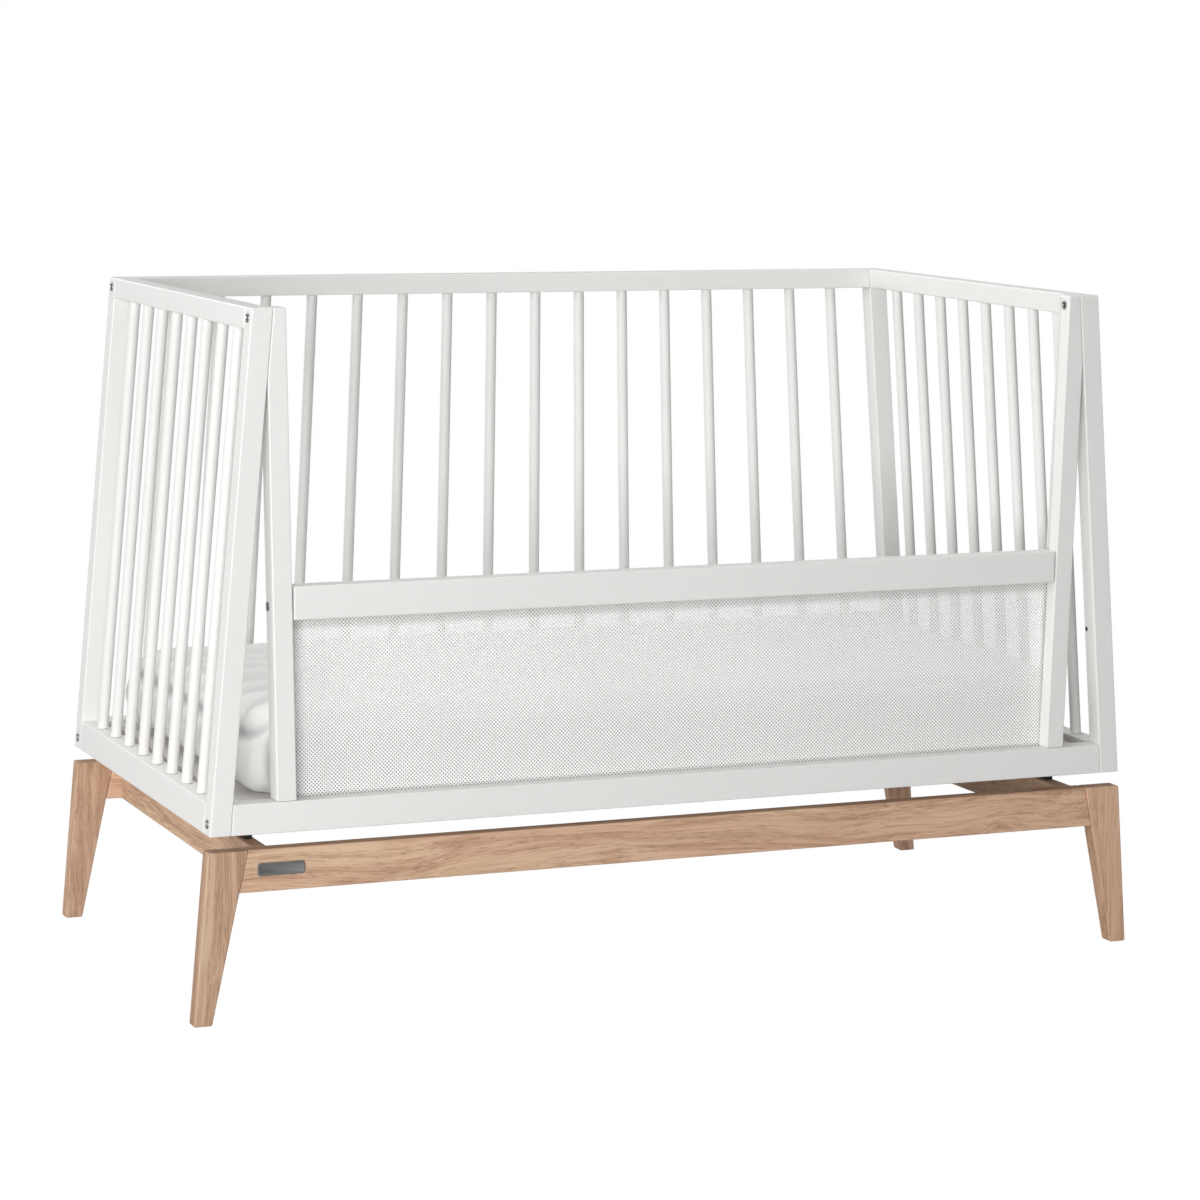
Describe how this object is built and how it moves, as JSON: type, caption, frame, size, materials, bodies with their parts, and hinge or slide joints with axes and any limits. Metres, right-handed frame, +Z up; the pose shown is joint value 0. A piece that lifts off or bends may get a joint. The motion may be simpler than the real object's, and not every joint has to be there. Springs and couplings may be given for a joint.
{
  "type": "baby crib",
  "caption": "Baby crib with splayed spindle ends on a tapered-leg wooden stand, a sliding front rail with a mesh panel, and a height-adjustable bed base with mattress.",
  "frame": {"origin": "on the floor, under the centre of the crib", "axes": "+X along the crib's length, +Y to the back, +Z up; the sliding front faces -Y"},
  "size_m": [1.361, 0.66, 0.91],
  "materials": {
    "paint": "satin white paint on solid wood",
    "oak": "matt lacquered light oak",
    "netting": "white breathable textile mesh",
    "bed_board": "white painted board with vents",
    "sheet": "white cotton fitted sheet",
    "rubber": "black matt",
    "steel": "brushed"
  },
  "bodies": {
    "root": {"back_top_rail": "paint", "back_bottom_rail": "paint", "front_bottom_rail": "paint", "left_guide_post": "paint", "right_guide_post": "paint", "left_front_post": "paint", "left_back_post": "paint", "left_end_top_rail": "paint", "left_end_bottom_rail": "paint", "right_front_post": "paint", "right_back_post": "paint", "right_end_top_rail": "paint", "right_end_bottom_rail": "paint", "left_end_spindle_1": "paint", "left_end_spindle_2": "paint", "left_end_spindle_3": "paint", "left_end_spindle_4": "paint", "left_end_spindle_5": "paint", "left_end_spindle_6": "paint", "left_end_spindle_7": "paint", "left_end_spindle_8": "paint", "right_end_spindle_1": "paint", "right_end_spindle_2": "paint", "right_end_spindle_3": "paint", "right_end_spindle_4": "paint", "right_end_spindle_5": "paint", "right_end_spindle_6": "paint", "right_end_spindle_7": "paint", "right_end_spindle_8": "paint", "back_spindle_1": "paint", "back_spindle_2": "paint", "back_spindle_3": "paint", "back_spindle_4": "paint", "back_spindle_5": "paint", "back_spindle_6": "paint", "back_spindle_7": "paint", "back_spindle_8": "paint", "back_spindle_9": "paint", "back_spindle_10": "paint", "back_spindle_11": "paint", "back_spindle_12": "paint", "back_spindle_13": "paint", "back_spindle_14": "paint", "back_spindle_15": "paint", "back_spindle_16": "paint", "left_front_leg": "oak", "left_back_leg": "oak", "left_cross_rail": "oak", "right_front_leg": "oak", "right_back_leg": "oak", "right_cross_rail": "oak", "front_stand_rail": "oak", "back_stand_rail": "oak", "left_support_strip": "rubber", "right_support_strip": "rubber", "badge_plate": "steel"},
    "drop_side": {"sliding_rail": "paint", "side_mesh": "netting"},
    "bed": {"bed_base": "bed_board", "mattress": "sheet"}
  },
  "joints": [
    {"name": "side_slide", "type": "slide", "parent": "root", "child": "drop_side", "axis": [0, 0, 1], "range_m": [0, 0.35], "deforming": ["side_mesh"]},
    {"name": "base_height", "type": "slide", "parent": "root", "child": "bed", "axis": [0, 0, 1], "range_m": [0, 0.175]}
  ]
}
